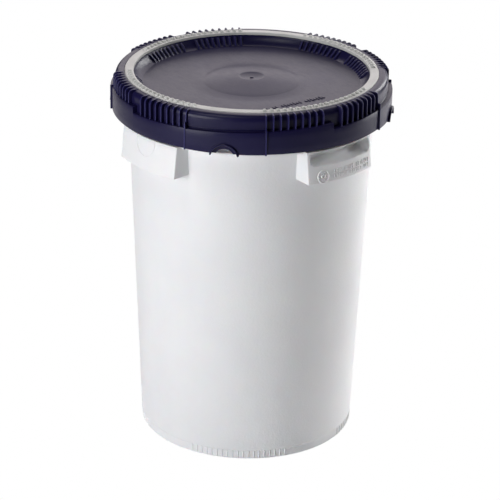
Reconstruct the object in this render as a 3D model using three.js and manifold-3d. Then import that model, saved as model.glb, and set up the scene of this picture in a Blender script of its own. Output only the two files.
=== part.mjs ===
// Tapered plastic drum with four integral grips and a quick-thread screw lid.
// Millimetres, +Z up, origin at the centre of the base, windowed grips on -Y and +Y.
// Angles are degrees about +Z, from -Y towards +X.
import * as THREE from "three";
import { mergeVertices } from "three/addons/utils/BufferGeometryUtils.js";
import Module from "manifold-3d";

const wasm = await Module();
wasm.setup();

// ---- driving dimensions -------------------------------------------------
const FACETS = 60; // round a full turn
const CORNER_FACETS = 5; // in a corner or an arch
const QUARTERS = [0, 90, 180, 270]; // everything repeats four times

// drum
const BASE_R = 125.85; // outside of the wall at the floor
const WALL_SLOPE = 0.0405; // outward per unit of height
const WALL = 3;
const FLOOR_Z = 8.5; // inside of the base
const COLLAR_Z = 391.5; // top of the collar below the lid
const COLLAR_R = 150.5;
const NECK_R = 144;
const RIM_Z = 428;

// grips
const GRIP_HALF = 47.5; // half the width, its ends are parallel
const GRIP_LOW_Z = 354;
const GRIP_LOW_R = 160.5;
const GRIP_TOP_R = 156.5;
const GRIP_WALL = 3;
const SILL_Z = 374; // bottom of the window in an open grip
const WINDOW_CORNER = 4;

// quick thread
const LEAD = 32; // rise in one full turn
const THREAD_Z = 402; // middle of a lid thread at its low end
const LID_THREAD = { from: 4, span: 80, innerR: 147, outerR: 158.6 };
const DRUM_THREAD = { from: 24, span: 40, innerR: 143.5, outerR: 150.5 };
const THREAD_ROOT = 1.5; // half thickness at the root
const THREAD_CREST = 1; // half thickness at the crest
const THREAD_FACET = 10; // degrees in one facet of a thread

// lid
const SKIRT_Z = 395.3; // lower edge
const SKIRT_IN_R = 157.6;
const SKIRT_R = 160.5; // under the ribbed arcs
const SMOOTH_R = 162; // under the smooth arcs
const SHOULDER_R = 156.8;
const SHOULDER_IN_R = 154.2;
const SMOOTH_AT = 38.6; // middle of the first smooth arc
const SMOOTH_HALF = 16.35;
const RIB_PITCH = (90 - 2 * SMOOTH_HALF) / 19;
const RIB_THICK = 2;
const FIRST_STEP_Z = 426; // where the end ribs step out, before and after a smooth arc
const LAST_STEP_Z = 423.8;
const RAMP_LOW_Z = 416.6; // top of the skirt just after its step
const RAMP_RISE = 7.4; // over the quarter to the next step
const STEP_WIDTH = 0.2; // degrees taken by the drop between two ramps
const LEDGE = 2.6; // thickness of the ramped ledge
const DISC_Z = 424.8; // top of the sunken disc
const FLANGE_Z = 431.9; // underside of the rim, above the seal
const SEAT_Z = 434.9; // seat of the stacking ring
const LID_TOP_Z = 437.9;
const DOME_R = 55.4;
const DOME_Z = 430.4;
const DIMPLE_R = 13.6;
const DIMPLE_Z = 428.3;

// arch in the middle of each smooth arc
const ARCH_Z = 390.3; // its centre, below the skirt
const ARCH_R = 17;
const ARCH_BEAD = 2;
const ARCH_OUT = 164.5;
const NOTCH_R = 10.5;

// stacking ring and seal
const RING_IN = 135.6;
const RING_OUT = 145.6;
const RING_Z = 438.3;
const BUMP = { innerR: 137.6, outerR: 143.2, height: 2.5, width: 4.2, taper: 0.8 };
const GAP = 0.3; // between separate pieces
const SEAL = { innerR: 139.4, outerR: 147.6 };

const RIBBED_AT = SMOOTH_AT - 45; // middle of the first ribbed arc

// ---- shared helpers -----------------------------------------------------
const rad = THREE.MathUtils.degToRad;

// Closed geometry to a solid that can be joined and cut.
function toSolid(geometry) {
  const bare = geometry.clone();
  bare.deleteAttribute("normal");
  bare.deleteAttribute("uv");
  const merged = mergeVertices(bare);
  return new wasm.Manifold(
    new wasm.Mesh({
      numProp: 3,
      vertProperties: merged.attributes.position.array,
      triVerts: new Uint32Array(merged.index.array),
    }),
  );
}

function toMesh(name, solid, material) {
  const { vertProperties, triVerts } = solid.getMesh();
  const geometry = new THREE.BufferGeometry();
  geometry.setAttribute("position", new THREE.BufferAttribute(vertProperties, 3));
  geometry.setIndex(new THREE.BufferAttribute(triVerts, 1));
  geometry.computeVertexNormals();
  const mesh = new THREE.Mesh(geometry, material);
  mesh.name = name;
  return mesh;
}

// Solid of revolution about Z from a profile of [radius, z] pairs, anticlockwise.
function revolve(profile) {
  const points = profile.map(([r, z]) => new THREE.Vector2(r, z));
  if (profile[0][0] > 0) points.push(points[0].clone());
  return toSolid(new THREE.LatheGeometry(points, FACETS).rotateX(Math.PI / 2));
}

// Solid swept about Z through stations of { at, section }, a section being [radius, z] pairs.
function sweep(stations, closed = false) {
  const count = stations[0].section.length;
  const positions = stations.flatMap(({ at, section }) =>
    section.flatMap(([r, z]) => [r * Math.sin(rad(at)), -r * Math.cos(rad(at)), z]),
  );
  const index = [];
  const spans = closed ? stations.length : stations.length - 1;
  for (let i = 0; i < spans; i++) {
    const next = (i + 1) % stations.length;
    for (let j = 0; j < count; j++) {
      const a = i * count + j;
      const b = i * count + ((j + 1) % count);
      const c = next * count + j;
      const d = next * count + ((j + 1) % count);
      index.push(a, c, b, b, c, d);
    }
  }
  if (!closed) {
    const outline = stations[0].section.map(([r, z]) => new THREE.Vector2(r, z));
    const last = (stations.length - 1) * count;
    for (const [a, b, c] of THREE.ShapeUtils.triangulateShape(outline, [])) {
      index.push(a, b, c, last + a, last + c, last + b);
    }
  }
  const geometry = new THREE.BufferGeometry();
  geometry.setAttribute("position", new THREE.Float32BufferAttribute(positions, 3));
  geometry.setIndex(index);
  return toSolid(geometry);
}

// Radial plate of even thickness from an outline of [radius, z] pairs.
function plate(outline, thickness, at) {
  const shape = new THREE.Shape(outline.map(([r, z]) => new THREE.Vector2(r, z)));
  const geometry = new THREE.ExtrudeGeometry(shape, { depth: thickness, bevelEnabled: false });
  geometry.translate(0, 0, -thickness / 2);
  geometry.rotateX(Math.PI / 2);
  return toSolid(geometry.rotateZ(rad(at - 90)));
}

// Outline drawn in the tangent plane (across, z) and pushed out from innerR to outerR.
function boss(shape, innerR, outerR, at) {
  const options = { depth: outerR - innerR, bevelEnabled: false, curveSegments: CORNER_FACETS };
  const geometry = new THREE.ExtrudeGeometry(shape, options);
  geometry.rotateX(Math.PI / 2);
  geometry.translate(0, -innerR, 0);
  return toSolid(geometry.rotateZ(rad(at)));
}

function rectangle(half, low, high, corner) {
  const shape = new THREE.Shape();
  shape.moveTo(-half, high);
  shape.lineTo(-half, low + corner);
  shape.absarc(-half + corner, low + corner, corner, Math.PI, 1.5 * Math.PI, false);
  shape.absarc(half - corner, low + corner, corner, 1.5 * Math.PI, 2 * Math.PI, false);
  shape.lineTo(half, high);
  return shape;
}

const union = (solids) => solids.reduce((sum, next) => sum.add(next));
const wallR = (z) => BASE_R + WALL_SLOPE * z;

// One screw rib of the quick thread, with z the height of its middle at its low end.
function threadRib({ from, span, innerR, outerR }, inner, outer, z) {
  const steps = span / THREAD_FACET;
  const stations = Array.from({ length: steps + 1 }, (_, i) => {
    const turned = (span * i) / steps;
    const mid = z + (LEAD * turned) / 360;
    const section = [
      [innerR, mid - inner],
      [outerR, mid - outer],
      [outerR, mid + outer],
      [innerR, mid + inner],
    ];
    return { at: from + turned, section };
  });
  return QUARTERS.map((turn) =>
    sweep(stations.map(({ at, section }) => ({ at: at + turn, section }))),
  );
}

// ---- drum ---------------------------------------------------------------
function drumShell() {
  return revolve([
    [0, 5],
    [112, 5],
    [114, 0],
    [124.4, 0],
    [125.2, 0.8],
    [wallR(11) - 0.8, 11],
    [wallR(12), 12],
    [wallR(386), 386],
    [COLLAR_R, COLLAR_Z - 2.5],
    [COLLAR_R, COLLAR_Z],
    [NECK_R, COLLAR_Z + 1],
    [NECK_R, RIM_Z - 1.2],
    [NECK_R - 1, RIM_Z],
    [NECK_R - 2.4, RIM_Z],
    [NECK_R - 3.2, RIM_Z - 1],
    [wallR(386) - WALL, 386],
    [wallR(14) - WALL, 14],
    [117, FLOOR_Z],
    [0, FLOOR_Z],
  ]);
}

// Ring of the grips' cross-section, cut to one grip's width by parallel ends.
function gripBlock(profile, half, at) {
  return revolve(profile).intersect(boss(rectangle(half, 340, 400, 1), 100, 180, at));
}

function grip(at, open) {
  const outerAt = (z) =>
    GRIP_LOW_R + ((GRIP_TOP_R - GRIP_LOW_R) * (z - GRIP_LOW_Z)) / (COLLAR_Z - GRIP_LOW_Z);
  const block = gripBlock(
    [
      [wallR(355) - 1.5, GRIP_LOW_Z + 1],
      [GRIP_LOW_R, GRIP_LOW_Z],
      [GRIP_TOP_R, COLLAR_Z],
      [wallR(355) - 1.5, COLLAR_Z],
    ],
    GRIP_HALF,
    at,
  );
  // Finger hollow, open below, up to the sill of a windowed grip or to the collar.
  const roof = open ? SILL_Z - GRIP_WALL : COLLAR_Z - 4;
  const hollow = gripBlock(
    [
      [wallR(340), 340],
      [outerAt(340) - GRIP_WALL, 340],
      [outerAt(roof) - GRIP_WALL, roof],
      [wallR(roof), roof],
    ],
    GRIP_HALF - GRIP_WALL,
    at,
  );
  if (!open) return block.subtract(hollow);
  // The wall stands upright behind the window, so that nothing overhangs the sill.
  const window = boss(
    rectangle(GRIP_HALF - GRIP_WALL, SILL_Z, COLLAR_Z - 2.5, WINDOW_CORNER),
    100,
    180,
    at,
  ).intersect(
    revolve([
      [wallR(COLLAR_Z), 360],
      [180, 360],
      [180, 400],
      [wallR(COLLAR_Z), 400],
    ]),
  );
  return block.subtract(hollow).subtract(window);
}

function drum() {
  const grips = QUARTERS.map((turn, i) => grip(turn, i % 2 === 0));
  const z = THREAD_Z + LEAD / 8 + (LEAD * (DRUM_THREAD.from - LID_THREAD.from)) / 360;
  const threads = threadRib(DRUM_THREAD, THREAD_ROOT, THREAD_CREST, z);
  return union([drumShell(), ...grips, ...threads]);
}

// ---- lid ----------------------------------------------------------------
// Height of the skirt's top edge: four ramps, each dropping back in the middle of a ribbed arc.
function rampTop(at) {
  const past = THREE.MathUtils.euclideanModulo(at - RIBBED_AT, 90);
  return RAMP_LOW_Z + (RAMP_RISE * past) / 90;
}

// Cross-section of the lid: underside, skirt with its ramped ledge, shoulder, seat and disc.
function lidSection(top, outerR) {
  return [
    [0, 425.1],
    [13, 425.1],
    [17, 426.9],
    [56, DISC_Z - 3.2],
    [124.4, DISC_Z - 3.2],
    [130.6, 423.6],
    [135.4, 427.6],
    [137.2, FLANGE_Z],
    [152.4, FLANGE_Z],
    [SHOULDER_IN_R, FLANGE_Z - 2.2],
    [SHOULDER_IN_R, top - LEDGE],
    [SKIRT_IN_R, top - LEDGE],
    [SKIRT_IN_R, SKIRT_Z],
    [outerR, SKIRT_Z],
    [outerR, top],
    [SHOULDER_R, top],
    [SHOULDER_R, 431.2],
    [154.9, 435.6],
    [150.4, LID_TOP_Z],
    [RING_OUT + GAP, LID_TOP_Z],
    [RING_OUT + GAP, SEAT_Z],
    [135.4, SEAT_Z],
    [134.5, 431],
    [131.2, 427.2],
    [125.8, DISC_Z + 0.9],
    [125.2, DISC_Z],
    [DOME_R, DISC_Z],
    [DIMPLE_R + 1, DOME_Z],
    [DIMPLE_R, DIMPLE_Z],
    [0, DIMPLE_Z],
  ];
}

// Stations of one quarter, from just after a step round to just before the next.
function lidQuarter(turn) {
  const start = RIBBED_AT + turn;
  const smoothFrom = 45 - SMOOTH_HALF;
  const smoothTo = 45 + SMOOTH_HALF;
  const arcs = [
    { from: STEP_WIDTH, to: smoothFrom, steps: 5, outerR: SKIRT_R },
    { from: smoothFrom + STEP_WIDTH, to: smoothTo, steps: 6, outerR: SMOOTH_R },
    { from: smoothTo + STEP_WIDTH, to: 90, steps: 5, outerR: SKIRT_R },
  ];
  return arcs.flatMap(({ from, to, steps, outerR }) =>
    Array.from({ length: steps + 1 }, (_, i) => {
      const past = from + ((to - from) * i) / steps;
      const top = RAMP_LOW_Z + (RAMP_RISE * past) / 90;
      return { at: start + past, section: lidSection(top, outerR) };
    }),
  );
}

// Top of a rib, from its outer side back to the stacking ring.
const RIB_TOP = [
  [158.7, 431.8],
  [153.4, LID_TOP_Z + 0.3],
  [148, LID_TOP_Z + 0.3],
];

// End rib of a ribbed arc: it steps out at the given height and runs down past the skirt's edge.
function endRib(at, step) {
  const foot = rampTop(at) - 1;
  const outer = [
    [159, SKIRT_Z - 0.8],
    [162.6, SKIRT_Z - 0.8],
    [162.6, step],
    [158.7, step],
  ];
  return plate([...outer, ...RIB_TOP, [152, 433.5], [155.5, foot], [159, foot]], RIB_THICK, at);
}

// The two end ribs that bound one smooth arc.
function endRibs(middle) {
  return [endRib(middle - SMOOTH_HALF, FIRST_STEP_Z), endRib(middle + SMOOTH_HALF, LAST_STEP_Z)];
}

function archShape(outer, inner) {
  const reach = Math.acos((SKIRT_Z - 1.2 - ARCH_Z) / outer);
  const from = Math.PI / 2 - reach;
  const to = Math.PI / 2 + reach;
  const shape = new THREE.Shape();
  shape.absarc(0, ARCH_Z, outer, from, to, false);
  shape.absarc(0, ARCH_Z, inner, to, from, true);
  return shape;
}

function disc(radius) {
  const shape = new THREE.Shape();
  shape.absarc(0, ARCH_Z, radius, 0, 2 * Math.PI, false);
  return shape;
}

function lid() {
  let shell = sweep(QUARTERS.flatMap(lidQuarter), true);
  const beads = [];
  for (const turn of QUARTERS) {
    const at = SMOOTH_AT + turn;
    shell = shell.subtract(boss(disc(ARCH_R - ARCH_BEAD), SKIRT_R - 0.3, 170, at));
    shell = shell.subtract(boss(disc(NOTCH_R), 150, 170, at));
    beads.push(boss(archShape(ARCH_R, ARCH_R - ARCH_BEAD), 158.5, ARCH_OUT, at));
  }
  const threads = threadRib(LID_THREAD, THREAD_CREST, THREAD_ROOT, THREAD_Z);
  const ribs = QUARTERS.flatMap((turn) => endRibs(SMOOTH_AT + turn));
  return union([shell, ...beads, ...threads, ...ribs]);
}

// ---- stacking ring and seal ---------------------------------------------
// Inlaid ring with a row of bumps along each ribbed arc.
function stackingRing() {
  const ring = revolve([
    [RING_IN, SEAT_Z + GAP],
    [RING_OUT, SEAT_Z + GAP],
    [RING_OUT, RING_Z],
    [RING_IN, RING_Z],
  ]);
  const bump = (at) =>
    plate(
      [
        [BUMP.innerR, RING_Z - 1],
        [BUMP.outerR, RING_Z - 1],
        [BUMP.outerR - BUMP.taper, RING_Z + BUMP.height],
        [BUMP.innerR + BUMP.taper, RING_Z + BUMP.height],
      ],
      BUMP.width,
      at,
    );
  const counts = Array.from({ length: 20 }, (_, i) => i - 9.5);
  const bumps = QUARTERS.flatMap((turn) =>
    counts.map((count) => bump(RIBBED_AT + turn + count * RIB_PITCH)),
  );
  return union([ring, ...bumps]);
}

// Gasket between the drum's rim and the underside of the lid.
function sealRing() {
  return revolve([
    [SEAL.innerR, RIM_Z + GAP],
    [SEAL.outerR, RIM_Z + GAP],
    [SEAL.outerR, FLANGE_Z - GAP],
    [SEAL.innerR, FLANGE_Z - GAP],
  ]);
}

// ---- materials and assembly ---------------------------------------------
const plastic = (color, roughness) =>
  new THREE.MeshStandardMaterial({ color, roughness, metalness: 0 });

const drumGroup = new THREE.Group();
drumGroup.add(toMesh("drum_body", drum(), plastic(0xf1f1f2, 0.5)));

const lidGroup = new THREE.Group();
lidGroup.add(
  toMesh("lid", lid(), plastic(0x1f1c42, 0.38)),
  toMesh("stacking_ring", stackingRing(), plastic(0xcbccc8, 0.55)),
  toMesh("seal_ring", sealRing(), plastic(0x3b3b3d, 0.7)),
);

const root = new THREE.Group();
root.add(drumGroup, lidGroup);

export default root;
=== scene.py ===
# Visual model of a tapered plastic drum with a quick-thread screw lid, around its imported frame.
# Lengths are millimetres until they become vertices. Angles are degrees about +Z, from -Y towards +X.
import math

import bmesh
import bpy
import numpy as np
from mathutils import Matrix, Vector


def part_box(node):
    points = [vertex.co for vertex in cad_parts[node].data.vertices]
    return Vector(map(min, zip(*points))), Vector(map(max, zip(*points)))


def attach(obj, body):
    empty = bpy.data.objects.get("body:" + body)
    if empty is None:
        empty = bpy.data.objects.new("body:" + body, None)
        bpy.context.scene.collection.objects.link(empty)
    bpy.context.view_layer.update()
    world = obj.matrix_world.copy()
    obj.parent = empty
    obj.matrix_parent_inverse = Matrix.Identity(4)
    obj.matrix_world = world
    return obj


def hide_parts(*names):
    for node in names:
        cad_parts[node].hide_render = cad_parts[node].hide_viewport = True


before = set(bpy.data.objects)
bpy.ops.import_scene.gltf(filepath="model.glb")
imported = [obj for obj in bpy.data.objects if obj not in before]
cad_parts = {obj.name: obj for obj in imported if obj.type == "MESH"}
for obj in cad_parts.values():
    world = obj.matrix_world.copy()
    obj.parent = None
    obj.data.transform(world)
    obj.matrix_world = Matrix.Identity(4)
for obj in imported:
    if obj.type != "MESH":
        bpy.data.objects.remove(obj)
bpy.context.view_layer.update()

MM = 0.001
QUARTERS = (0, 90, 180, 270)


def node_box(node):
    """Lowest and highest corners of a CAD node, in millimetres."""
    low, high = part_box(node)
    return [v / MM for v in low], [v / MM for v in high]


# ---- sizes, following the frame ---------------------------------------------
DRUM_LOW, DRUM_HIGH = node_box("drum_body")
LID_LOW, LID_HIGH = node_box("lid")
RING_LOW, RING_HIGH = node_box("stacking_ring")
SEAL_LOW, SEAL_HIGH = node_box("seal_ring")

# lid heights, from the tops of its ribs and the lower edge of its end ribs
RIB_Z = LID_HIGH[2]
CROWN_Z = RIB_Z - 0.3
SEAT_Z = RING_LOW[2] - 0.3
FLANGE_Z = SEAL_HIGH[2] + 0.3
SKIRT_Z = LID_LOW[2] + 0.8
DISC_Z = RIB_Z - 13.4
DOME_RISE = 5.6
DIMPLE_DROP = 2.1

# lid radii
SKIRT_R = 160.5
SMOOTH_R = 162
SKIRT_IN_R = 157.6
SHOULDER_IN_R = 153
VALLEY_R = 154.9
SHOULDER_R = 156.8
END_RIB_R = 162.6
END_RIB_TOP_R = 159.4
RIB_R = 159.2
DOME_R = 55.4
DIMPLE_R = 14
RECESS_R = 134.8
DISC_R = 124.8
SEAT_IN_R = 135
SEAT_OUT_R = 145.9

# stacking ring, with bumps that are domes across it and rounded crests along it
RING_IN_R = 135.6
BUMP_RISE = 2.5
BUMP_R = 140.4
BUMP_WIDE = 2.6
BUMP_HALF = 0.9
RING_TOP_Z = RING_HIGH[2] - BUMP_RISE

# seal
SEAL_IN_R = 139.4
SEAL_LIP = 1.1

# how the lid repeats round its rim
SMOOTH_AT = 38.6
SMOOTH_HALF = 16.35
RIBBED_AT = SMOOTH_AT - 45
RIB_PITCH = (90 - 2 * SMOOTH_HALF) / 19
RAMP_Z = SKIRT_Z + 21.3
RAMP_RISE = 7.4
LEDGE = 2.6
FIRST_STEP_Z = RAMP_Z + 9.5
LAST_STEP_Z = RAMP_Z + 7.1

# arch in each smooth arc of the skirt
ARCH_Z = SKIRT_Z - 5
ARCH_R = 17
ARCH_BEAD = 2
ARCH_OUT_R = 164.5
ARCH_FLOOR_R = 160.2
NOTCH_R = 10.5
ARCHES = [SMOOTH_AT + quarter for quarter in QUARTERS]

# drum
RIM_Z = DRUM_HIGH[2]
COLLAR_Z = RIM_Z - 36.5
COLLAR_R = 150.5
NECK_R = 144
FLOOR_Z = 8.5
FOOT_Z = 11.5
WALL = 3
WALL_SLOPE = 0.0405
BASE_R = 125.85
BASE_LIFT = 5
FLOOR_ROUND = 6
RIM_ROUND = 1.1

# grips
GRIP_HALF = 47.5
GRIP_LOW_Z = COLLAR_Z - 37.5
GRIP_LOW_R = -DRUM_LOW[1]
GRIP_TOP_R = GRIP_LOW_R - 4
GRIP_WALL = 3
SILL_Z = GRIP_LOW_Z + 20
WINDOW_CORNER = 6
WINDOW_FILLET = 5.5
EDGE = 1

# quick thread: four starts, on the drum's neck and inside the lid
LEAD = 32
THREAD_Z = SKIRT_Z + 6.7
LID_THREAD_AT = 4
LID_THREAD_SPAN = 80
LID_THREAD_IN = -10.6
LID_THREAD_FADE = 3
NECK_THREAD_AT = 24
NECK_THREAD_SPAN = 40
NECK_THREAD_OUT = 6.5
NECK_THREAD_FADE = 2.5


# ---- meshes -----------------------------------------------------------------
def polar(at, radius, z):
    """Points at a radius and height in the direction at."""
    turn = np.radians(at)
    return np.stack(np.broadcast_arrays(radius * np.sin(turn), -radius * np.cos(turn), z), -1)


def turned(at, across, out, z):
    """Points given across and out along the direction at."""
    turn = np.radians(at)
    x = across * np.cos(turn) + out * np.sin(turn)
    y = across * np.sin(turn) - out * np.cos(turn)
    return np.stack(np.broadcast_arrays(x, y, z), -1)


def facing(at, across, radius, z):
    """Points on a cylinder round Z, given by their distance across the direction at."""
    return turned(at, across, np.sqrt(radius**2 - across**2), z)


def skin(rings, closed):
    """A body skinned over closed rings of points, closed on itself or with flat ends."""
    count, size = rings.shape[:2]
    i = np.arange(count if closed else count - 1)[:, None]
    j = np.arange(size)[None, :]
    after = (i + 1) % count
    beside = (j + 1) % size
    corners = (i * size + j, after * size + j, after * size + beside, i * size + beside)
    faces = np.stack(corners, -1).reshape(-1, 4).tolist()
    if not closed:
        faces.append(list(range(size)))
        faces.append(list(range((count - 1) * size, count * size)))
    return rings.reshape(-1, 3), faces


def piece(name, shapes):
    """One object from bodies of (points, faces), cleaned and facing out."""
    points, faces, start = [], [], 0
    for body_points, body_faces in shapes:
        points.append(body_points)
        faces += [[start + k for k in face] for face in body_faces]
        start += len(body_points)
    mesh = bpy.data.meshes.new(name)
    mesh.from_pydata((np.concatenate(points) * MM).tolist(), [], faces)
    work = bmesh.new()
    work.from_mesh(mesh)
    bmesh.ops.remove_doubles(work, verts=work.verts, dist=2e-6)
    bmesh.ops.recalc_face_normals(work, faces=work.faces)
    work.to_mesh(mesh)
    work.free()
    made = bpy.data.objects.new(name, mesh)
    bpy.context.scene.collection.objects.link(made)
    return made


def combine(body, operation, tool):
    """Joins the tool to an object, or cuts the object with it, and uses it up."""
    step = body.modifiers.new("combine", "BOOLEAN")
    step.object = tool
    step.operation = operation
    step.solver = "MANIFOLD"
    graph = bpy.context.evaluated_depsgraph_get()
    mesh = bpy.data.meshes.new_from_object(body.evaluated_get(graph))
    if not mesh.polygons:
        raise RuntimeError(f"{operation} left nothing of {body.name}")
    body.modifiers.clear()
    body.data = mesh
    bpy.data.objects.remove(tool)


def smooth(body, crease):
    """Smooth shading, sharp at edges over the crease angle."""
    mesh = body.data
    mesh.polygons.foreach_set("use_smooth", [True] * len(mesh.polygons))
    mesh.set_sharp_from_angle(angle=math.radians(crease))
    mesh.update()


def arc(centre, radius, start, end, steps):
    """Points of an arc in a plane, from start to end degrees."""
    turn = np.radians(np.linspace(start, end, steps + 1))
    return np.stack([centre[0] + radius * np.cos(turn), centre[1] + radius * np.sin(turn)], -1)


def apart(at, centres):
    """Degrees from each angle to the nearest centre."""
    return np.abs((at[:, None] - np.asarray(centres)[None, :] + 180) % 360 - 180).min(1)


def eased(share):
    """A share held between 0 and 1, with a level start and end."""
    share = np.clip(share, 0, 1)
    return share * share * (3 - 2 * share)


def near(at, centres, full, none):
    """1 within full degrees of a centre, 0 beyond none degrees, and smooth between."""
    return eased((none - apart(at, centres)) / (none - full))


def ridge(at, centres, half, power=4):
    """1 at a centre, falling over a rounded crest to 0 at half degrees from it."""
    share = np.clip(apart(at, centres) / half, 0, 1)
    return np.sqrt(1 - share**power)


def stations_round(pitch, centres, reach, offsets):
    """Even angles round a full turn, less those close to a centre, plus offsets at each centre."""
    even = np.arange(0, 360, pitch)
    extra = (np.asarray(centres)[:, None] + np.asarray(offsets)[None, :]).ravel()
    return np.unique(np.round(np.concatenate([even[apart(even, centres) > reach], extra]) % 360, 4))


def swept(at, sections):
    """A closed body through sections of (radius, height) points round a full turn."""
    return skin(polar(at[:, None], sections[..., 0], sections[..., 1]), True)


def revolved(profile, steps=240):
    """A closed body from one profile of (radius, height) points."""
    at = np.linspace(0, 360, steps, endpoint=False)
    return swept(at, np.broadcast_to(np.asarray(profile, float), (steps, len(profile), 2)))


def across_loft(at, stations):
    """A body through (across, section) stations, a section being (radius, height) points."""
    rings = [facing(at, x, section[:, 0], section[:, 1]) for x, section in stations]
    return skin(np.stack(rings), False)


def pressed(at, face, layers, limit=np.inf):
    """A body through (depth, outline) layers on a face, a radius that may vary with height."""
    rings = []
    for depth, outline in layers:
        across, z = outline.T
        rings.append(facing(at, across, np.minimum(face(z) + depth, limit), z))
    return skin(np.stack(rings), False)


def hoop(at, face, centre, section, start=0, end=360, steps=64):
    """A rim round a centre on a face, its section being (distance from centre, depth) points."""
    whole = end - start == 360
    turn = np.radians(np.linspace(start, end, steps, endpoint=not whole))[:, None]
    section = np.asarray(section, float)
    across = centre[0] + section[:, 0] * np.sin(turn)
    z = centre[1] + section[:, 0] * np.cos(turn)
    return skin(facing(at, across, face(z) + section[:, 1], z), whole)


def oblong(half, low, high, corner, grow=0.0, steps=22):
    """Rounded rectangle of (across, height) points, grown outwards."""
    x = half - corner
    centres = ((x, low + corner, -90), (x, high - corner, 0))
    centres += ((-x, high - corner, 90), (-x, low + corner, 180))
    corners = [arc((cx, cz), corner + grow, turn, turn + 90, 6) for cx, cz, turn in centres]
    sides = []
    for k, ring in enumerate(corners):
        sides += [ring, np.linspace(ring[-1], corners[(k + 1) % 4][0], steps)[1:-1]]
    return np.concatenate(sides)


def thread(at, start, span, fade, rise, root_r, out):
    """Section of a screw rib at each station; it starts, climbs over span and ends in each quarter."""
    run = np.clip((at - start) % 90, 0, span)
    share = eased(np.minimum(run, span - run) / fade)
    mid = THREAD_Z + rise + LEAD * (start - LID_THREAD_AT + run) / 360
    rows = ((0, -2.2), (0.05, -1.5), (0.94, -1), (1, -0.6), (1, 0.6), (0.94, 1), (0.05, 1.5), (0, 2.2))
    return np.stack([np.stack([root_r + out * part * share, mid + z], -1) for part, z in rows], 1)


# ---- drum -------------------------------------------------------------------
FOOT_PITCH = 2.85
FOOT_RIBS = [45 + quarter + k * FOOT_PITCH for quarter in QUARTERS for k in range(-9, 10)]
FOOT_RIB_OFFSETS = (-0.3, -0.2, -0.12, 0.12, 0.2, 0.3)
FOOT_RIB_FULL = 0.13
FOOT_RIB_NONE = 0.28
FOOT_INSET = 0.75


def wall_r(z):
    """Outer radius of the drum's tapered wall."""
    return BASE_R + WALL_SLOPE * z


def grip_r(z):
    """Outer radius of a grip's face, which flares towards its lower edge."""
    return GRIP_LOW_R + (GRIP_TOP_R - GRIP_LOW_R) * (z - GRIP_LOW_Z) / (COLLAR_Z - GRIP_LOW_Z)


def drum_profile():
    """The drum's section in four stretches: base with its ring, foot band, wall to neck, and inside."""
    base = [(0, BASE_LIFT), (60, BASE_LIFT), (110.5, BASE_LIFT), (111.7, 4.5), (112.6, 3.2)]
    base += [(113.4, 1), (114.2, 0.2), (115.2, 0), (123.6, 0), (124.3, 0.2), (124.8, 0.7)]
    foot = [(125.1, 1.2)]
    foot += [(wall_r(z) - FOOT_INSET, z) for z in (2, 5.5, 9, 10.2)]
    wall = [(wall_r(10.9) - 0.6, 10.9), (wall_r(FOOT_Z) - 0.1, FOOT_Z)]
    wall += [(wall_r(z), z) for z in (12.3, *np.linspace(20, COLLAR_Z - 5.5, 26))]
    wall += [(COLLAR_R - 1, COLLAR_Z - 2.9), (COLLAR_R - 0.3, COLLAR_Z - 2.6)]
    wall += [(COLLAR_R, COLLAR_Z - 2), (COLLAR_R, COLLAR_Z - 0.6), (COLLAR_R - 0.6, COLLAR_Z)]
    wall += [(NECK_R + 1, COLLAR_Z + 0.1), (NECK_R + 0.3, COLLAR_Z + 0.4), (NECK_R, COLLAR_Z + 1.2)]
    rim_mid_z = RIM_Z - RIM_ROUND
    inside = [*arc((NECK_R - RIM_ROUND, rim_mid_z), RIM_ROUND, 0, 90, 5)]
    inside += [*arc((NECK_R - RIM_ROUND - 1, rim_mid_z), RIM_ROUND, 90, 180, 5)]
    inside += [(wall_r(z) - WALL, z) for z in (COLLAR_Z - 5.5, *np.linspace(COLLAR_Z - 20, 20, 20))]
    corner = (wall_r(14) - WALL - FLOOR_ROUND, FLOOR_Z + FLOOR_ROUND)
    inside += [*arc(corner, FLOOR_ROUND, 0, -90, 6), (60, FLOOR_Z), (0, FLOOR_Z)]
    return np.array(base), np.array(foot), np.array(wall), np.array(inside)


def drum_shell():
    """The drum without grips, in one sweep: ribs stand out of the foot band, threads out of the neck."""
    at = stations_round(1, FOOT_RIBS, 0.45, FOOT_RIB_OFFSETS)
    base, foot, wall, inside = (np.repeat(part[None], len(at), 0) for part in drum_profile())
    foot[:, 1:, 0] += FOOT_INSET * near(at, FOOT_RIBS, FOOT_RIB_FULL, FOOT_RIB_NONE)[:, None]
    ramp = (NECK_THREAD_AT, NECK_THREAD_SPAN, NECK_THREAD_FADE)
    screw = thread(at, *ramp, LEAD / 8, NECK_R, NECK_THREAD_OUT)
    return swept(at, np.concatenate([base, foot, wall, screw, inside], 1))


def end_stations(half, edge, steps=4):
    """(across, inset) pairs of a body whose ends are rounded by edge."""
    turn = np.radians(np.linspace(90, 0, steps + 1))
    right = [(half - edge + edge * math.cos(t), edge * (1 - math.sin(t))) for t in turn]
    left = [(-x, inset) for x, inset in right[::-1]]
    return left + [(x, 0) for x in np.linspace(edge - half, half - edge, 33)[1:-1]] + right


def grip_body(at):
    """Solid block of a grip, with rounded ends and a rounded lower edge."""
    top = COLLAR_Z - 0.2
    inner = wall_r(GRIP_LOW_Z) - 1
    stations = []
    for x, inset in end_stations(GRIP_HALF, EDGE):
        low = GRIP_LOW_Z + inset
        face = [(grip_r(z) - inset, z) for z in np.linspace(top, low + EDGE, 8)]
        corner = arc((grip_r(low) - inset - EDGE, low + EDGE), EDGE, 0, -90, 4)[1:]
        stations.append((x, np.concatenate([face, corner, [(inner, low + 1), (inner, top)]])))
    return across_loft(at, stations)


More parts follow.
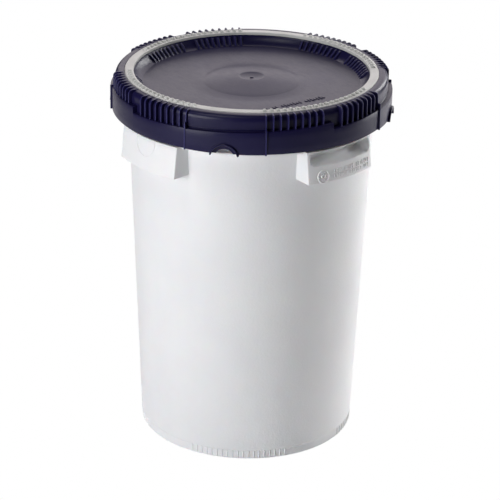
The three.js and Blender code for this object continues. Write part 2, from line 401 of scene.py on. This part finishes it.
def hollow(at, windowed):
    """Finger hollow, open below, up to the sill of a windowed grip or to the collar."""
    roof = SILL_Z - GRIP_WALL if windowed else COLLAR_Z - 4
    mouth = GRIP_LOW_Z - 4
    rounding = 1.5
    stations = []
    for x, inset in end_stations(GRIP_HALF - GRIP_WALL, rounding):
        shoulder = roof - inset - rounding
        face = [(grip_r(z) - GRIP_WALL - inset, z) for z in np.linspace(mouth, shoulder, 6)]
        corner = arc((grip_r(roof) - GRIP_WALL - inset - rounding, shoulder), rounding, 0, 90, 3)
        back = [(wall_r(z) + 0.05, z) for z in (roof - inset, GRIP_LOW_Z + 8, mouth)]
        stations.append((x, np.concatenate([face, corner[1:], back])))
    return across_loft(at, stations)


def window_outline(half, grow):
    """Rounded below, and drawn in above to a straight top under the collar."""
    outline = oblong(half, SILL_Z, COLLAR_Z + 4, WINDOW_CORNER, grow)
    middle = (SILL_Z + COLLAR_Z) / 2
    above = np.clip((outline[:, 1] - middle) / (outline[:, 1].max() - middle), 0, 1)
    outline[:, 1] -= above * (outline[:, 1].max() - COLLAR_Z + 1.2)
    return outline


def window(at):
    """Opening above the sill of a windowed grip: filleted upright back, rounded lip round its mouth."""
    lip = 1.1
    back = wall_r(COLLAR_Z)
    half = GRIP_HALF - GRIP_WALL - 0.6
    layers = []
    for turn in np.radians(np.linspace(0, 90, 8)):
        outline = window_outline(half, -WINDOW_FILLET * (1 - math.sin(turn)))
        layers.append((back + WINDOW_FILLET * (1 - math.cos(turn)) - grip_r(outline[:, 1]), outline))
    for turn in np.radians((0, 25, 50, 70, 90)):
        layers.append((lip * (math.sin(turn) - 1), window_outline(half, lip * (1 - math.cos(turn)))))
    past_face = 12
    layers.append((past_face, window_outline(half, lip)))
    return pressed(at, grip_r, layers)


def bar(at, across, z, width, height, proud=0.9):
    """Raised bar with rounded corners on a grip's face, no further out than the grip's lower edge."""
    corner = min(width, height) * 0.45
    layers = []
    for depth, grow in ((-1, 0.1), (0.05, 0.1), (proud * 0.75, 0), (proud, -corner * 0.45)):
        outline = oblong(width / 2, z - height / 2, z + height / 2, corner, grow, 3)
        layers.append((depth, outline + np.array([across, 0])))
    return pressed(at, grip_r, layers, GRIP_LOW_R - 0.05)


def bead(radius, width, proud):
    """Section of a raised rim of that middle radius, for hoop."""
    rise = ((-0.5, -1), (-0.5, 0.5), (-0.3, 1), (0.3, 1), (0.5, 0.5), (0.5, -1))
    return [(radius + width * a, proud * d if d > 0 else d) for a, d in rise]


def face_marks(at):
    """A plain dial and two rows of upright dashes on the face below a window."""
    dial = (-29, GRIP_LOW_Z + 7.8)
    marks = [hoop(at, grip_r, dial, bead(7, 1.1, 0.9)), hoop(at, grip_r, dial, bead(2.4, 0.9, 0.8))]
    dots_r, dot = 4.7, 1.1
    for step in range(8):
        turn = math.radians(45 * step + 22.5)
        across, z = dial[0] + dots_r * math.sin(turn), dial[1] + dots_r * math.cos(turn)
        marks.append(bar(at, across, z, dot, dot, 0.7))
    first, pitch = -14, 3.4
    for z, skipped in ((GRIP_LOW_Z + 11.5, (4, 9)), (GRIP_LOW_Z + 5.5, (6, 13))):
        for k in range(17):
            if k not in skipped:
                marks.append(bar(at, first + pitch * k, z, (1.4, 2.3)[k % 2], (3.6, 5, 5)[k % 3]))
    return marks


def face_circle(at):
    """Fine circular groove in the face of a plain grip, partly under the collar."""
    inner, outer, deep = 14.9, 15.9, 0.5
    section = [(inner, -deep), (outer, -deep), (outer, 1), (inner, 1)]
    return hoop(at, grip_r, (2, COLLAR_Z - 5.5), section, steps=96)


def drum():
    """The whole drum: windowed grips at 0 and 180 degrees, plain ones between."""
    body = piece("drum", [drum_shell()])
    for k, at in enumerate(QUARTERS):
        windowed = k % 2 == 0
        grip = piece("grip", [grip_body(at)])
        combine(grip, "DIFFERENCE", piece("hollow", [hollow(at, windowed)]))
        if windowed:
            combine(grip, "DIFFERENCE", piece("window", [window(at)]))
            combine(grip, "UNION", piece("marks", face_marks(at)))
        else:
            combine(grip, "DIFFERENCE", piece("circle", [face_circle(at)]))
        combine(body, "UNION", grip)
    smooth(body, 32)
    return body


# ---- lid --------------------------------------------------------------------
RIB_HALF = 0.38
RIB_ROUND = 4.5
RECESS_RIB_HALF = 0.85
RECESS_RIB_DEPTH = 2
RIB_OFFSETS = [share * RIB_HALF for share in (0, 0.35, 0.6, 0.8, 0.92, 1)]
RIB_OFFSETS += [0.55, 0.68, 0.78, RECESS_RIB_HALF]
RIB_OFFSETS += [-offset for offset in RIB_OFFSETS]


def rib_angles(counts):
    """Directions that lie so many rib pitches from the middle of each ribbed arc."""
    return [RIBBED_AT + quarter + count * RIB_PITCH for quarter in QUARTERS for count in counts]


THIN_RIBS = rib_angles([side * (k + 1.5) for side in (-1, 1) for k in range(8)])
END_RIBS = rib_angles([-9.5, 9.5])
LAST_RIBS = rib_angles([-9.5])


def rows_to_sections(rows, count):
    """Sections from (radius, height) rows whose entries are numbers or one value per station."""
    full = [[np.broadcast_to(np.asarray(v, float), count) for v in row] for row in rows]
    return np.stack([np.stack(row, -1) for row in full], 1)


def outer_side(skirt_r, low, top, groove_r, wall, centre, radius, crown):
    """Skirt, ledge, groove, shoulder wall and rounded shoulder, from the lower edge up."""
    rows = [(skirt_r - 0.5, low), (skirt_r - 0.15, low + 0.15), (skirt_r, low + 0.5)]
    rows += [(skirt_r, low + (top - low) * share) for share in (0.33, 0.67)]
    rows += [(skirt_r, top - 0.7), (skirt_r - 0.2, top - 0.2), (skirt_r - 0.7, top)]
    rows += [(groove_r + 0.5, top), (groove_r, top + 0.4), (groove_r, top + 1.5), (wall, top + 2)]
    rows += [(wall, top + (centre[1] - top) * 0.7)]
    for turn in np.radians(np.linspace(0, 90, 8)):
        rows.append((centre[0] + radius * math.cos(turn), centre[1] + radius * math.sin(turn)))
    return rows + [(SEAT_OUT_R + 2, crown), (SEAT_OUT_R + 1.6, crown), (SEAT_OUT_R + 1.2, CROWN_Z)]


def recess_wall(depth):
    """Concave wall of the recess, steep at its top; depth is how far a rib stands off it."""
    steep, flat = math.radians(60), math.radians(24)
    radius = (RECESS_R - DISC_R) / (math.sin(steep) - math.sin(flat))
    top_z = DISC_Z + radius * (math.cos(flat) - math.cos(steep))
    rows = []
    fades = (0, 0.6, 0.95, 1, 1, 1, 1, 1, 0.9, 0.5, 0)
    for slope, fade in zip(np.linspace(steep, flat, len(fades)), fades):
        along = radius - depth * fade
        r = RECESS_R - radius * math.sin(steep) + along * math.sin(slope)
        rows.append((r, top_z + radius * math.cos(steep) - along * math.cos(slope)))
    return rows


def disc_top():
    """Sunken disc, its low dome and the dimple with the gate's nub, from the edge inwards."""
    rows = [(DISC_R - 0.5, DISC_Z), (100, DISC_Z), (75, DISC_Z)]
    rows += [(DOME_R + 0.5, DISC_Z), (DOME_R, DISC_Z + 0.12)]
    for r in np.linspace(DOME_R - 3, DIMPLE_R + 1.2, 9):
        share = (r - DIMPLE_R) / (DOME_R - DIMPLE_R)
        rows.append((r, DISC_Z + 0.3 + (DOME_RISE - 0.3) * (1 - share**1.35)))
    bottom = DISC_Z + DOME_RISE - DIMPLE_DROP
    rows += [(DIMPLE_R + 0.4, DISC_Z + DOME_RISE - 0.05), (DIMPLE_R - 0.6, DISC_Z + DOME_RISE - 0.5)]
    rows += [(r, bottom + 1.5 * (r / DIMPLE_R) ** 2) for r in (11, 8, 5, 3)]
    rows += [(2.2, bottom + 0.1), (1.9, bottom + 0.75), (1.2, bottom + 0.95), (0, bottom + 0.95)]
    return rows


def lid_outside(at, top):
    """Skirt and shoulder: the wall between ribs, the thin ribs on it and the end ribs over both."""
    count = len(at)
    smooth_arc = np.clip((SMOOTH_HALF - apart(at, ARCHES)) / 0.3 + 0.5, 0, 1)
    skirt_r = SKIRT_R + (SMOOTH_R - SKIRT_R) * smooth_arc
    wall = VALLEY_R + (SHOULDER_R - VALLEY_R) * smooth_arc
    groove = wall - 0.9 * smooth_arc
    rounding = 6.8 + 0.2 * smooth_arc
    corner = ((wall - rounding, RIB_Z - 7.3), rounding, CROWN_Z)
    valley = rows_to_sections(outer_side(skirt_r, SKIRT_Z, top, groove, wall, *corner), count)
    crest = ((RIB_R - RIB_ROUND, RIB_Z - RIB_ROUND), RIB_ROUND, RIB_Z)
    rib = rows_to_sections(outer_side(skirt_r, SKIRT_Z, top, RIB_R, RIB_R, *crest), count)
    step_z = np.where(apart(at, LAST_RIBS) < 1, LAST_STEP_Z, FIRST_STEP_Z)
    end_rows = outer_side(END_RIB_R, LID_LOW[2], step_z, END_RIB_TOP_R, RIB_R, *crest)
    ends = rows_to_sections(end_rows, count)
    outside = valley + (rib - valley) * ridge(at, THIN_RIBS, RIB_HALF)[:, None, None]
    return outside + (ends - outside) * ridge(at, END_RIBS, RIB_HALF)[:, None, None]


def lid_inside(top):
    """Underside of the disc, its rim, the flange over the seal and the inside of the shoulder."""
    low_z = DISC_Z - 3.2
    rows = [(0, DISC_Z + 0.3), (13, DISC_Z + 0.3), (17, DISC_Z + 2.1), (36, DISC_Z - 0.6), (56, low_z)]
    rows += [(90, low_z), (124, low_z), (127.6, DISC_Z - 2.6), (130.6, DISC_Z - 1.2)]
    rows += [(133.4, DISC_Z + 0.8), (135.4, DISC_Z + 2.8), (136.7, DISC_Z + 5), (137.2, FLANGE_Z)]
    rows += [(151.2, FLANGE_Z), (152.4, FLANGE_Z - 0.7), (SHOULDER_IN_R, FLANGE_Z - 2.2)]
    rows += [(SHOULDER_IN_R, top - LEDGE), (SKIRT_IN_R - 0.6, top - LEDGE)]
    return rows + [(SKIRT_IN_R, top - LEDGE - 0.6)]


def lid_shell():
    """The lid's moulding in one sweep: every rib, ramp and thread is part of the section."""
    steps = np.array(rib_angles([0])) % 360
    at = stations_round(1.5, THIN_RIBS + END_RIBS, 0.95, RIB_OFFSETS)
    at = np.unique(np.concatenate([at, steps - 0.08, steps + 0.08]))
    count = len(at)
    top = RAMP_Z + RAMP_RISE * ((at - RIBBED_AT) % 90) / 90
    ramp = (LID_THREAD_AT, LID_THREAD_SPAN, LID_THREAD_FADE)
    screw = thread(at, *ramp, 0, SKIRT_IN_R, LID_THREAD_IN)
    edge = [(SKIRT_IN_R, SKIRT_Z + 0.4), (SKIRT_IN_R + 0.4, SKIRT_Z)]
    seat = [(SEAT_OUT_R + 0.5, CROWN_Z), (SEAT_OUT_R + 0.1, CROWN_Z - 0.15)]
    seat += [(SEAT_OUT_R, CROWN_Z - 0.5), (SEAT_OUT_R, SEAT_Z)]
    seat += [(SEAT_IN_R + 0.4, SEAT_Z), (SEAT_IN_R, SEAT_Z - 0.3)]
    bowl = rows_to_sections(recess_wall(0), count)
    ribbed_bowl = rows_to_sections(recess_wall(RECESS_RIB_DEPTH), count)
    bowl = bowl + (ribbed_bowl - bowl) * ridge(at, THIN_RIBS + END_RIBS, RECESS_RIB_HALF)[:, None, None]
    parts = [rows_to_sections(lid_inside(top), count), screw[:, ::-1], rows_to_sections(edge, count)]
    parts += [lid_outside(at, top), rows_to_sections(seat, count), bowl]
    parts += [rows_to_sections(disc_top(), count)]
    return swept(at, np.concatenate(parts, 1))


def disc_bar(at, across, out, width, height):
    """Low raised bar on the sunken disc, across and out along the direction at."""
    corner = min(width, height) * 0.45
    rings = []
    for z, grow in ((-1, 0.1), (0.05, 0.1), (0.65, 0), (0.8, -corner * 0.45)):
        outline = oblong(width / 2, out - height / 2, out + height / 2, corner, grow, 3)
        rings.append(turned(at, across + outline[:, 0], outline[:, 1], DISC_Z + z))
    return skin(np.stack(rings), False)


def disc_marks():
    """A straight line of plain bars on the disc, in place of small lettering."""
    first, pitch, line_out = -40, 4, 90.5
    widths, heights = (1.5, 3.2, 2), (6.5, 3, 5)
    spaces = (4, 12)
    return [
        disc_bar(RIBBED_AT, first + pitch * k, line_out, widths[k % 3], heights[k % 3] + 0.1 * k)
        for k in range(20)
        if k not in spaces
    ]


def arch_floor(z):
    """The face that an arch stands on, of even radius."""
    return np.full_like(np.asarray(z, float), ARCH_FLOOR_R)


def arch_discs(radius, depths):
    """Round tools through the skirt at every arch, between two depths."""
    ring = arc((0, ARCH_Z), radius, 0, 360, 72)[:-1]
    layers = [(depth, ring) for depth in depths]
    return [pressed(at, arch_floor, layers) for at in ARCHES]


def arch_beads():
    """Raised rim round the upper side of every arch."""
    inner, outer, proud = ARCH_R - ARCH_BEAD, ARCH_R, ARCH_OUT_R - ARCH_FLOOR_R
    root, edge, half_turn = -1.7, 0.5, 77
    section = [(inner, root), (inner, proud - edge), (inner + edge, proud)]
    section += [(outer - edge, proud), (outer, proud - edge), (outer, root)]
    return [
        hoop(at, arch_floor, (0, ARCH_Z), section, -half_turn, half_turn, 41) for at in ARCHES
    ]


def mark_crest_highlight(body):
    """Stores where the lid's points lie on the crest of a rib, for the painted highlight there."""
    points = np.empty(3 * len(body.data.vertices))
    body.data.vertices.foreach_get("co", points)
    x, y, z = points.reshape(-1, 3).T / MM
    radius = np.hypot(x, y)
    at = np.degrees(np.arctan2(x, -y))
    outside = (radius > SHOULDER_IN_R + 1) | (z > CROWN_Z - 2) & (radius > RING_HIGH[0])
    recess = (radius > DISC_R) & (radius < RECESS_R) & (z > DISC_Z + 0.6)
    full, none = 0.1, 0.3
    thin = near(at, THIN_RIBS, full, none) * (outside & (radius < RIB_R + 0.2) & (z > RAMP_Z) | recess)
    end = near(at, END_RIBS, full, none) * (outside | recess)
    # the crest attribute marks where a painted highlight goes along the rib crests
    crest = body.data.attributes.new("crest", "FLOAT", "POINT")
    crest.data.foreach_set("value", np.clip(thin + end, 0, 1))


def lid():
    """The whole lid: its swept moulding, an arch with a notch in each smooth arc, and plain marks."""
    body = piece("lid_moulding", [lid_shell()])
    below = SKIRT_Z - 30
    recess = piece("recess", arch_discs(ARCH_R - ARCH_BEAD, (-9, 9)))
    core = revolved([(0, below), (ARCH_FLOOR_R, below), (ARCH_FLOOR_R, RIB_Z), (0, RIB_Z)])
    combine(recess, "DIFFERENCE", piece("core", [core]))
    combine(body, "DIFFERENCE", recess)
    combine(body, "DIFFERENCE", piece("notches", arch_discs(NOTCH_R, (-10, 9))))
    combine(body, "UNION", piece("beads", arch_beads()))
    combine(body, "UNION", piece("marks", disc_marks()))
    smooth(body, 32)
    mark_crest_highlight(body)
    return body


# ---- stacking ring and seal -------------------------------------------------
def stacking_ring():
    """Inlaid ring with rounded bumps along each ribbed arc."""
    centres = rib_angles([k - 9.5 for k in range(20)])
    offsets = [BUMP_HALF * math.sin(math.radians(15 * k)) for k in range(-6, 7)]
    at = stations_round(1.5, centres, 1, offsets)
    bump = BUMP_RISE * ridge(at, centres, BUMP_HALF, 2.5)
    low, top = RING_LOW[2], RING_TOP_Z
    outer, inner = RING_HIGH[0], RING_IN_R
    rows = [(inner, low), (outer, low), (outer, top - 0.6), (outer - 0.2, top - 0.2), (outer - 0.6, top)]
    for turn in np.radians(np.linspace(0, 180, 11)):
        rows.append((BUMP_R + BUMP_WIDE * math.cos(turn), top + bump * math.sin(turn) ** 0.7))
    rows += [(inner + 0.4, top), (inner + 0.1, top - 0.2), (inner, top - 0.6)]
    body = piece("ring_inlay", [swept(at, rows_to_sections(rows, len(at)))])
    smooth(body, 40)
    return body


def seal():
    """Gasket with two soft lips towards the rim."""
    low, high = SEAL_LOW[2], SEAL_HIGH[2]
    inner, outer = SEAL_IN_R, SEAL_HIGH[0]
    rows = [(inner, high - 0.5), (inner, low + 1)]
    rows += [*arc((inner + SEAL_LIP, low + SEAL_LIP), SEAL_LIP, 180, 340, 6)]
    rows += [(inner + 2.9, low + 1.3), (outer - 2.9, low + 1.3)]
    rows += [*arc((outer - SEAL_LIP, low + SEAL_LIP), SEAL_LIP, 200, 360, 6)]
    rows += [(outer, high - 0.5), (outer - 0.5, high), (inner + 0.5, high)]
    body = piece("gasket", [revolved(rows, 180)])
    smooth(body, 40)
    return body


# ---- materials --------------------------------------------------------------
class Finish:
    """A node material on a Principled shader, with helpers that add detail to it."""

    def __init__(self, name, **values):
        self.material = bpy.data.materials.new(name)
        self.material.use_nodes = True
        self.tree = self.material.node_tree
        self.shader = self.tree.nodes["Principled BSDF"]
        self.place = self.tree.nodes.new("ShaderNodeTexCoord").outputs["Object"]
        for socket, value in values.items():
            self.shader.inputs[socket.replace("_", " ")].default_value = value

    def add(self, kind, **values):
        """A new node; each value is a constant or the socket that feeds it."""
        node = self.tree.nodes.new(kind)
        for socket, value in values.items():
            self.set(node.inputs[socket.replace("_", " ")], value)
        return node

    def set(self, socket, value):
        """Links a socket to another one, or gives it a constant."""
        if isinstance(value, bpy.types.NodeSocket):
            self.tree.links.new(value, socket)
        else:
            socket.default_value = value

    def noise(self, scale, detail=4, stretch=(1, 1, 1), rough=0.55):
        """Noise in the object's own metres."""
        mapped = self.add("ShaderNodeMapping", Vector=self.place, Scale=stretch)
        made = self.add("ShaderNodeTexNoise", Vector=mapped.outputs[0], Scale=scale, Detail=detail)
        made.inputs["Roughness"].default_value = rough
        return made.outputs[0]

    def ramp(self, source, low, high, start=0.3, end=0.7):
        """A source spread from one value to another, both colours or both numbers."""
        if isinstance(low, tuple):
            return self.mix(self.ramp(source, 0, 1, start, end), (*low, 1), (*high, 1))
        made = self.add("ShaderNodeMapRange", Value=source)
        for socket, value in zip(("From Min", "From Max", "To Min", "To Max"), (start, end, low, high)):
            made.inputs[socket].default_value = value
        return made.outputs[0]

    def mix(self, share, first, second):
        """A share of the second colour over the first."""
        made = self.tree.nodes.new("ShaderNodeMix")
        made.data_type = "RGBA"
        self.set(made.inputs[0], share)
        self.set(made.inputs[6], first)
        self.set(made.inputs[7], second)
        return made.outputs[2]

    def bump(self, *layers):
        """Stacks (height, strength, distance) bumps on the shader."""
        normal = None
        for height, strength, distance in layers:
            node = self.add("ShaderNodeBump", Height=height, Strength=strength, Distance=distance)
            if normal:
                self.tree.links.new(normal, node.inputs["Normal"])
            normal = node.outputs[0]
        self.tree.links.new(normal, self.shader.inputs["Normal"])

    def give(self, body):
        """Makes this the only material of an object."""
        body.data.materials.clear()
        body.data.materials.append(self.material)


def white_polyethylene():
    """Faintly translucent moulding, with cloudy shade, upright flow streaks and a fine grain."""
    made = Finish("drum_white", Subsurface_Weight=0.1, Subsurface_Scale=0.002, IOR=1.5)
    colour = made.ramp(made.noise(9, 3), (0.83, 0.835, 0.85), (0.875, 0.878, 0.885))
    streak = made.ramp(made.noise(30, 5, (1, 1, 0.12)), 0, 0.25, 0.45, 0.8)
    colour = made.mix(streak, colour, (0.80, 0.80, 0.81, 1))
    made.set(made.shader.inputs["Base Color"], colour)
    made.set(made.shader.inputs["Roughness"], made.ramp(made.noise(60, 6), 0.4, 0.52))
    waves = (made.noise(25, 2), 0.25, 0.0004)
    peel = (made.noise(350, 3), 0.5, 0.0004)
    grain = (made.noise(1400, 3), 0.18, 0.0002)
    made.bump(waves, peel, grain)
    return made


def navy_polyethylene():
    """Dark moulding with fine scuffs, and a painted highlight in paler blue along the crests of its
    ribs.
    """
    made = Finish("lid_navy", IOR=1.3)
    colour = made.ramp(made.noise(14, 3), (0.0080, 0.0066, 0.037), (0.0110, 0.0090, 0.048))
    scuffs = made.noise(260, 8, (1, 0.35, 1), 0.7)
    colour = made.mix(made.ramp(scuffs, 0, 0.2, 0.58, 0.75), colour, (0.024, 0.022, 0.065, 1))
    # painted highlight: the rib crests are mixed towards a paler blue in place of the light they catch
    crest = made.add("ShaderNodeAttribute")
    crest.attribute_name = "crest"
    painted_crest_highlight = made.ramp(crest.outputs["Fac"], 0, 0.7, 0, 1)
    colour = made.mix(painted_crest_highlight, colour, (0.045, 0.044, 0.17, 1))
    made.set(made.shader.inputs["Base Color"], colour)
    made.set(made.shader.inputs["Roughness"], made.ramp(scuffs, 0.28, 0.38, 0.35, 0.7))
    made.bump((made.noise(40, 2), 0.2, 0.0003), (made.noise(1800, 3), 0.25, 0.0002))
    return made


def pale_polymer():
    """Pale grey ring, slightly uneven in shade and gloss."""
    made = Finish("ring_pale", IOR=1.5)
    colour = made.ramp(made.noise(35, 4), (0.56, 0.56, 0.54), (0.64, 0.64, 0.62))
    made.set(made.shader.inputs["Base Color"], colour)
    made.set(made.shader.inputs["Roughness"], made.ramp(made.noise(90, 5), 0.38, 0.52))
    made.bump((made.noise(1500, 3), 0.2, 0.0002))
    return made


def dark_rubber():
    """Matt dark rubber with a fine bloom."""
    made = Finish("seal_rubber", IOR=1.5)
    cloud = made.noise(60, 4)
    colour = made.ramp(cloud, (0.035, 0.035, 0.037), (0.055, 0.055, 0.056))
    made.set(made.shader.inputs["Base Color"], colour)
    made.set(made.shader.inputs["Roughness"], made.ramp(cloud, 0.6, 0.8))
    made.bump((made.noise(2200, 4), 0.3, 0.0002))
    return made


# ---- stage, lights and camera -----------------------------------------------
# the camera's place in metres and degrees, from a fit to the object's outlines
VIEW_AT = -41.1
VIEW_OUT = 2.6036
VIEW_UP = 1.3321
VIEW_PITCH = 23.268
VIEW_YAW = 0.033
VIEW_ROLL = 1.017
LENS = 172.3

AIM_Z = 0.25
PINK_WHITE = (1, 0.93, 0.95)
COOL_WHITE = (0.975, 0.983, 1)

# floor, in millimetres
FLOOR_HALF = 2500
FLOOR_LOW_Z = -12
FLOOR_TOP_Z = -0.2


def camera():
    """Long lens at the photo's viewing angle."""
    data = bpy.data.cameras.new("camera")
    data.lens = LENS
    data.sensor_width = 36
    data.clip_end = 50
    made = bpy.data.objects.new("camera", data)
    bpy.context.scene.collection.objects.link(made)
    heading, pitch = math.radians(VIEW_YAW - VIEW_AT), math.radians(VIEW_PITCH)
    forward = Vector((math.sin(heading), math.cos(heading), 0)) * math.cos(pitch)
    forward.z = -math.sin(pitch)
    level = forward.cross(Vector((0, 0, 1))).normalized()
    up = level.cross(forward)
    roll = math.radians(VIEW_ROLL)
    right = level * math.cos(roll) + up * math.sin(roll)
    above = up * math.cos(roll) - level * math.sin(roll)
    turn = Matrix((right, above, -forward)).transposed().to_4x4()
    spot = polar(VIEW_AT, VIEW_OUT, VIEW_UP)
    made.matrix_world = Matrix.Translation(Vector(spot)) @ turn
    bpy.context.scene.camera = made


def soft_box(name, at, rise, distance, width, height, watts, colour=(1, 1, 1)):
    """Area light aimed at the object's middle; at is measured from the camera's direction."""
    data = bpy.data.lights.new(name, "AREA")
    data.shape = "RECTANGLE"
    data.size, data.size_y = width, height
    data.energy = watts
    data.color = colour
    made = bpy.data.objects.new(name, data)
    bpy.context.scene.collection.objects.link(made)
    aim = Vector((0, 0, AIM_Z))
    out = distance * math.cos(math.radians(rise))
    spot = Vector(polar(VIEW_AT + at, out, AIM_Z + distance * math.sin(math.radians(rise))))
    turn = (aim - spot).to_track_quat("-Z", "Y").to_matrix().to_4x4()
    made.matrix_world = Matrix.Translation(spot) @ turn
    made.visible_camera = False


def seen_and_lit(tree, seen, lit):
    """One shader for the camera's own rays and another for light that bounces."""
    mix = tree.nodes.new("ShaderNodeMixShader")
    path = tree.nodes.new("ShaderNodeLightPath")
    tree.links.new(path.outputs["Is Camera Ray"], mix.inputs[0])
    tree.links.new(lit.outputs[0], mix.inputs[1])
    tree.links.new(seen.outputs[0], mix.inputs[2])
    return mix.outputs[0]


def surround():
    """A plain white surround that the camera sees but that gives no light."""
    world = bpy.data.worlds.new("studio")
    bpy.context.scene.world = world
    world.use_nodes = True
    tree = world.node_tree
    seen, dark = tree.nodes["Background"], tree.nodes.new("ShaderNodeBackground")
    seen.inputs["Color"].default_value = (1, 1, 1, 1)
    dark.inputs["Strength"].default_value = 0
    tree.links.new(seen_and_lit(tree, seen, dark), tree.nodes["World Output"].inputs[0])


def floor():
    """A plain pale floor that looks white and still sends light back up."""
    corners = FLOOR_HALF * np.array([(-1, -1), (1, -1), (1, 1), (-1, 1)], float)
    rings = [np.column_stack([corners, np.full(4, z)]) for z in (FLOOR_LOW_Z, FLOOR_TOP_Z)]
    slab = piece("floor", [skin(np.stack(rings), False)])
    paint = bpy.data.materials.new("floor_white")
    paint.use_nodes = True
    tree = paint.node_tree
    pale = tree.nodes["Principled BSDF"]
    pale.inputs["Base Color"].default_value = (0.9, 0.9, 0.9, 1)
    pale.inputs["Roughness"].default_value = 0.9
    white = tree.nodes.new("ShaderNodeEmission")
    tree.links.new(seen_and_lit(tree, white, pale), tree.nodes["Material Output"].inputs[0])
    slab.data.materials.append(paint)


camera()
surround()
floor()
# name, direction and rise in degrees, distance and sizes in metres, watts
soft_box("key_left", -46, 13, 2.4, 1.2, 1.1, 36.5, COOL_WHITE)
soft_box("side_right", 111, 12, 2.2, 0.6, 1.8, 33)
soft_box("rim_right", 142, 22, 2.2, 0.4, 1, 15)
soft_box("back_high", 180, 50, 2.4, 2.2, 1.4, 22, PINK_WHITE)
soft_box("back_low", 180, 20, 2.6, 2.4, 0.9, 12, PINK_WHITE)
soft_box("glint_left", -40, 62, 2.2, 0.5, 0.5, 7)
bpy.context.scene.view_settings.view_transform = "Standard"

# ---- the object -------------------------------------------------------------
for build, finish, node, body, slot in (
    (drum, white_polyethylene, "drum_body", "drum", "drum_plastic"),
    (lid, navy_polyethylene, "lid", "lid", "lid_plastic"),
    (stacking_ring, pale_polymer, "stacking_ring", "lid", "ring_plastic"),
    (seal, dark_rubber, "seal_ring", "seal", "seal_rubber"),
):
    made = build()
    finish().give(made)
    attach(made, body)
    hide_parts(node)
